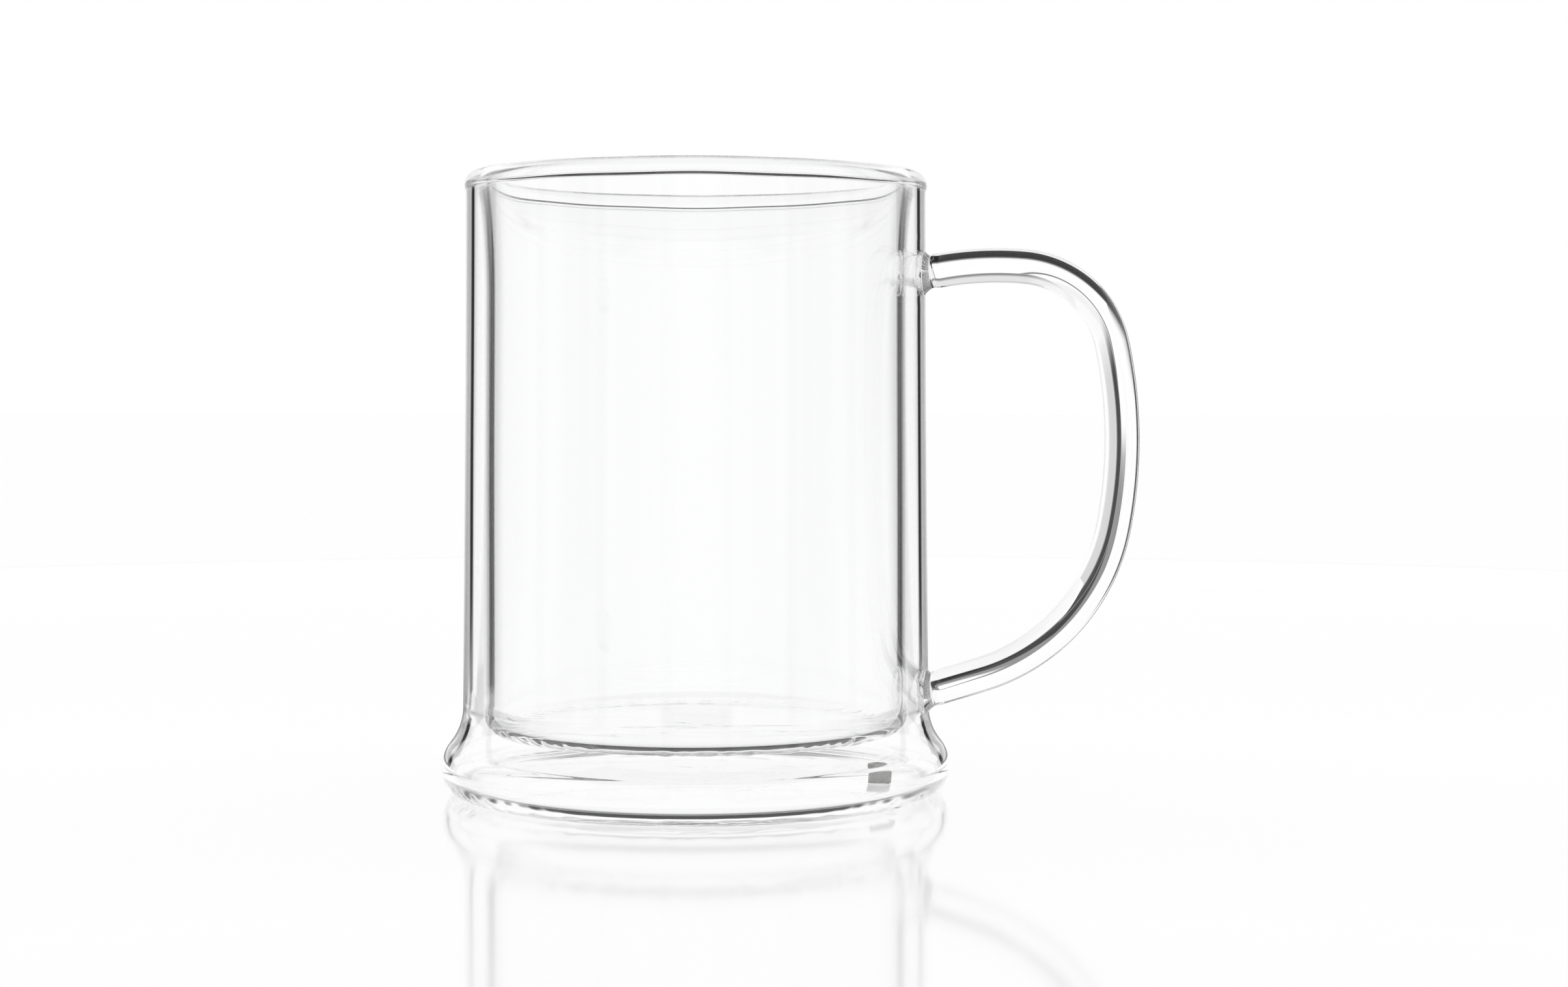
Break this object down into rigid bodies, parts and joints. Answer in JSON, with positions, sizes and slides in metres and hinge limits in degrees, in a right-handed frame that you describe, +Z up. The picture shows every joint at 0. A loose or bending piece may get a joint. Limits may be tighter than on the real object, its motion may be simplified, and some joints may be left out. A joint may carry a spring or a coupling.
{
  "type": "double-walled beer mug",
  "caption": "Clear glass beer mug with a drinking cup fused inside an outer shell at the rim, a bell-shaped foot, a bent rod handle and a vent plug in the base.",
  "frame": {"origin": "on the mug's axis, in the plane of the ring that stands on the table", "axes": "+Z up along the mug's axis, +X from the axis through the handle, +Y across the handle's plane"},
  "size_m": [0.1377, 0.1006, 0.122],
  "materials": {
    "clear_glass": "clear borosilicate, fire polished, with faint hand-made waves",
    "silicone": "translucent milky silicone, satin"
  },
  "bodies": {
    "root": {"outer_shell": "clear_glass", "inner_cup": "clear_glass", "rim_weld": "clear_glass", "handle": "clear_glass", "upper_handle_weld": "clear_glass", "lower_handle_weld": "clear_glass", "vent_plug": "silicone"}
  },
  "joints": []
}
